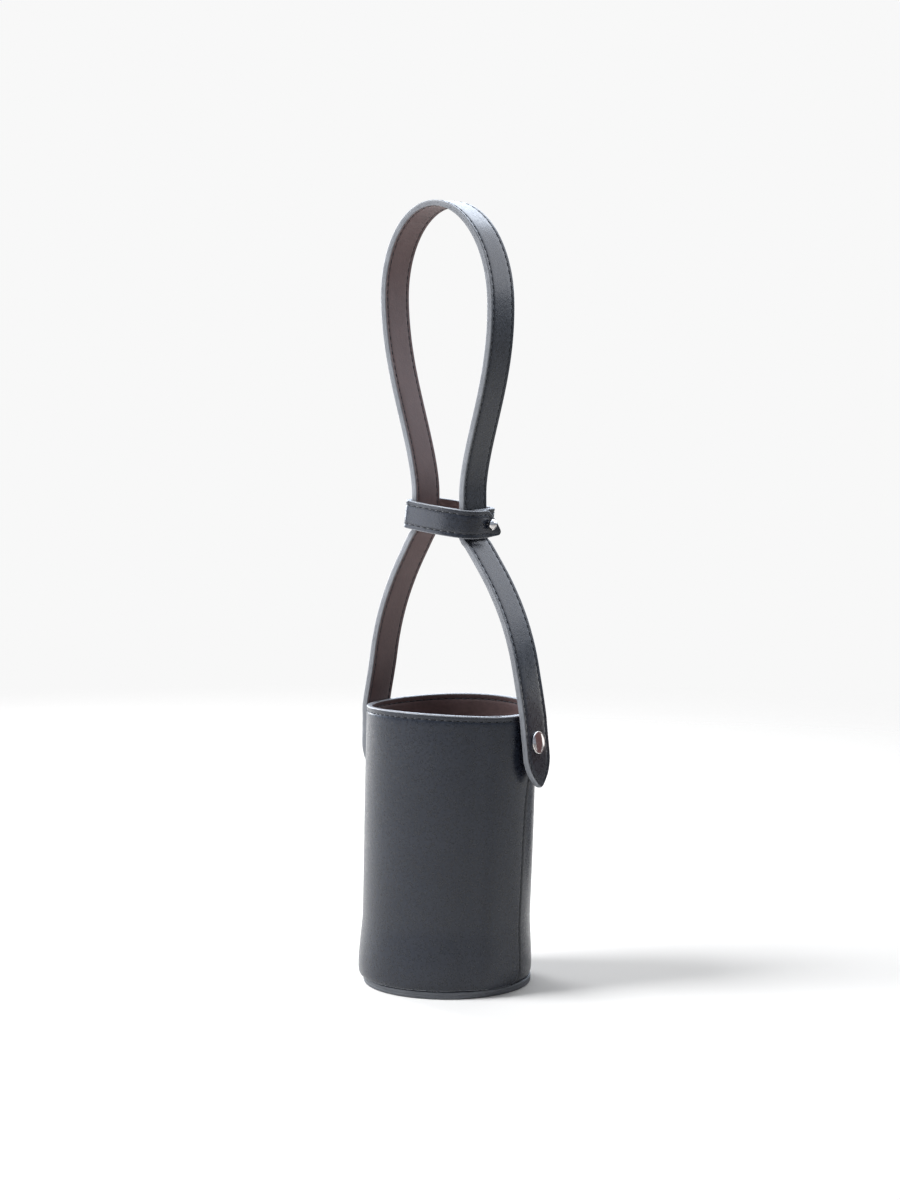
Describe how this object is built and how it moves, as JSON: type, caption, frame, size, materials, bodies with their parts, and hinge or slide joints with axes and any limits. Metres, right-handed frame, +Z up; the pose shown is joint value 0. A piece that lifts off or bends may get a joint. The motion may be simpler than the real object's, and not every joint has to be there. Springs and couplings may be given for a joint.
{
  "type": "bottle carrier",
  "caption": "Lined leather sleeve for one wine bottle, with a riveted swinging strap handle drawn in by a collar that buttons on a stud.",
  "frame": {"origin": "centre of the round base, on its underside", "axes": "+Z up, +X from the left rivet towards the right one where the collar buttons, -Y towards the front"},
  "size_m": [0.1102, 0.0938, 0.42],
  "materials": {
    "outer_leather": "satin",
    "lining_leather": "matte",
    "edge_leather": "satin",
    "thread": "matte",
    "nickel": "polished"
  },
  "bodies": {
    "sleeve": {"sleeve_panel": "outer_leather", "sleeve_lining": "lining_leather", "base_outsole": "edge_leather", "base_insole": "lining_leather"},
    "handle": {"handle_outer": "outer_leather", "handle_lining": "lining_leather", "right_rivet_cap": "nickel", "right_rivet_post": "nickel", "left_rivet_cap": "nickel", "left_rivet_post": "nickel"},
    "collar": {"collar_band": "outer_leather", "collar_band_lining": "lining_leather", "stud_body": "nickel", "stud_screw": "nickel"},
    "button_end": {"collar_button_end": "outer_leather", "collar_button_end_lining": "lining_leather"}
  },
  "joints": [
    {"name": "handle_swing", "type": "hinge", "parent": "sleeve", "child": "handle", "pos_m": [0.00453, 0, 0.135], "axis": [1, 0, 0], "range_deg": [-90, 90]},
    {"name": "collar_slide", "type": "slide", "parent": "handle", "child": "collar", "axis": [0, 0, 1], "range_m": [0, 0.005]},
    {"name": "button_end_swing", "type": "hinge", "parent": "collar", "child": "button_end", "pos_m": [0.01767, -0.01447, 0.25003], "axis": [-0.1219, 0, -0.9925], "range_deg": [0, 95], "deforming": ["collar_button_end", "collar_button_end_lining"]}
  ]
}
